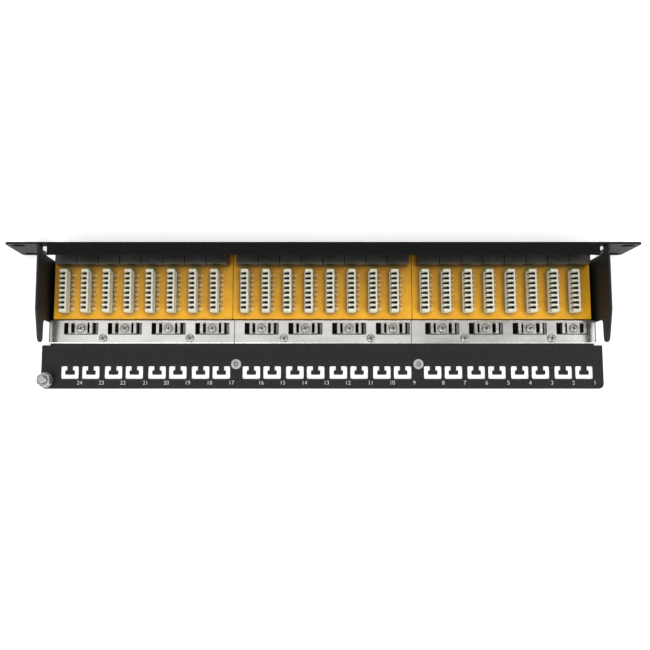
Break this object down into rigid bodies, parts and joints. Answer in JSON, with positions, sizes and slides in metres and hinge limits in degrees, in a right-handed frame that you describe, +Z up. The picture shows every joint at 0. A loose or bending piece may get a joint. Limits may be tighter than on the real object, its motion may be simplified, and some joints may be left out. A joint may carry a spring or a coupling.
{
  "type": "network patch panel",
  "caption": "One-unit 19-inch rack patch panel with shielded modular jacks, rear wire blocks, cable clamps, tie tray and ground stud.",
  "frame": {"origin": "centre of the four rack slots, on the front face of the panel sheet", "axes": "+X across the rack towards port 24, -Y out of the front face, +Y towards the cable tray, +Z up"},
  "size_m": [0.4826, 0.1107, 0.044],
  "materials": {
    "panel_paint": "fine-texture black powder coat",
    "chassis_paint": "fine-texture black powder coat",
    "board_yellow": "yellow-orange solder mask",
    "jack_shield": "bright tinned foil",
    "jack_plastic": "black moulding",
    "contact_gold": "gold flash",
    "idc_plastic": "cream moulding",
    "idc_blade": "tinned blade",
    "tinned_sheet": "tinned sheet",
    "rail_sheet": "tinned sheet",
    "saddle_sheet": "tinned sheet",
    "screw_steel": "zinc plate",
    "nylon": "natural nylon",
    "ground_hardware": "zinc plate"
  },
  "bodies": {
    "frame": {"front_panel": "panel_paint", "chassis": "chassis_paint", "circuit_board_a": "board_yellow", "jack_shields_a": "jack_shield", "jack_housings_a": "jack_plastic", "jack_contacts_a": "contact_gold", "idc_blocks_a": "idc_plastic", "idc_contacts_a": "idc_blade", "shield_cover_a": "tinned_sheet", "ground_rail_a": "rail_sheet", "circuit_board_b": "board_yellow", "jack_shields_b": "jack_shield", "jack_housings_b": "jack_plastic", "jack_contacts_b": "contact_gold", "idc_blocks_b": "idc_plastic", "idc_contacts_b": "idc_blade", "shield_cover_b": "tinned_sheet", "ground_rail_b": "rail_sheet", "circuit_board_c": "board_yellow", "jack_shields_c": "jack_shield", "jack_housings_c": "jack_plastic", "jack_contacts_c": "contact_gold", "idc_blocks_c": "idc_plastic", "idc_contacts_c": "idc_blade", "shield_cover_c": "tinned_sheet", "ground_rail_c": "rail_sheet", "cover_screws": "screw_steel", "nylon_rivets": "nylon", "ground_stud": "ground_hardware", "ground_nut_lower": "ground_hardware", "ground_washer": "ground_hardware"},
    "clamp_01": {"clamp_saddle_01": "saddle_sheet", "clamp_screw_01": "screw_steel"},
    "clamp_02": {"clamp_saddle_02": "saddle_sheet", "clamp_screw_02": "screw_steel"},
    "clamp_03": {"clamp_saddle_03": "saddle_sheet", "clamp_screw_03": "screw_steel"},
    "clamp_04": {"clamp_saddle_04": "saddle_sheet", "clamp_screw_04": "screw_steel"},
    "clamp_05": {"clamp_saddle_05": "saddle_sheet", "clamp_screw_05": "screw_steel"},
    "clamp_06": {"clamp_saddle_06": "saddle_sheet", "clamp_screw_06": "screw_steel"},
    "clamp_07": {"clamp_saddle_07": "saddle_sheet", "clamp_screw_07": "screw_steel"},
    "clamp_08": {"clamp_saddle_08": "saddle_sheet", "clamp_screw_08": "screw_steel"},
    "clamp_09": {"clamp_saddle_09": "saddle_sheet", "clamp_screw_09": "screw_steel"},
    "clamp_10": {"clamp_saddle_10": "saddle_sheet", "clamp_screw_10": "screw_steel"},
    "clamp_11": {"clamp_saddle_11": "saddle_sheet", "clamp_screw_11": "screw_steel"},
    "clamp_12": {"clamp_saddle_12": "saddle_sheet", "clamp_screw_12": "screw_steel"},
    "ground_nut": {"ground_nut_top": "ground_hardware"}
  },
  "joints": [
    {"name": "clamp_lift_01", "type": "slide", "parent": "frame", "child": "clamp_01", "axis": [0, 0, 1], "range_m": [0, 0.004]},
    {"name": "clamp_lift_02", "type": "slide", "parent": "frame", "child": "clamp_02", "axis": [0, 0, 1], "range_m": [0, 0.004]},
    {"name": "clamp_lift_03", "type": "slide", "parent": "frame", "child": "clamp_03", "axis": [0, 0, 1], "range_m": [0, 0.004]},
    {"name": "clamp_lift_04", "type": "slide", "parent": "frame", "child": "clamp_04", "axis": [0, 0, 1], "range_m": [0, 0.004]},
    {"name": "clamp_lift_05", "type": "slide", "parent": "frame", "child": "clamp_05", "axis": [0, 0, 1], "range_m": [0, 0.004]},
    {"name": "clamp_lift_06", "type": "slide", "parent": "frame", "child": "clamp_06", "axis": [0, 0, 1], "range_m": [0, 0.004]},
    {"name": "clamp_lift_07", "type": "slide", "parent": "frame", "child": "clamp_07", "axis": [0, 0, 1], "range_m": [0, 0.004]},
    {"name": "clamp_lift_08", "type": "slide", "parent": "frame", "child": "clamp_08", "axis": [0, 0, 1], "range_m": [0, 0.004]},
    {"name": "clamp_lift_09", "type": "slide", "parent": "frame", "child": "clamp_09", "axis": [0, 0, 1], "range_m": [0, 0.004]},
    {"name": "clamp_lift_10", "type": "slide", "parent": "frame", "child": "clamp_10", "axis": [0, 0, 1], "range_m": [0, 0.004]},
    {"name": "clamp_lift_11", "type": "slide", "parent": "frame", "child": "clamp_11", "axis": [0, 0, 1], "range_m": [0, 0.004]},
    {"name": "clamp_lift_12", "type": "slide", "parent": "frame", "child": "clamp_12", "axis": [0, 0, 1], "range_m": [0, 0.004]},
    {"name": "ground_nut_lift", "type": "slide", "parent": "frame", "child": "ground_nut", "axis": [0, 0, 1], "range_m": [0, 0.003]}
  ]
}
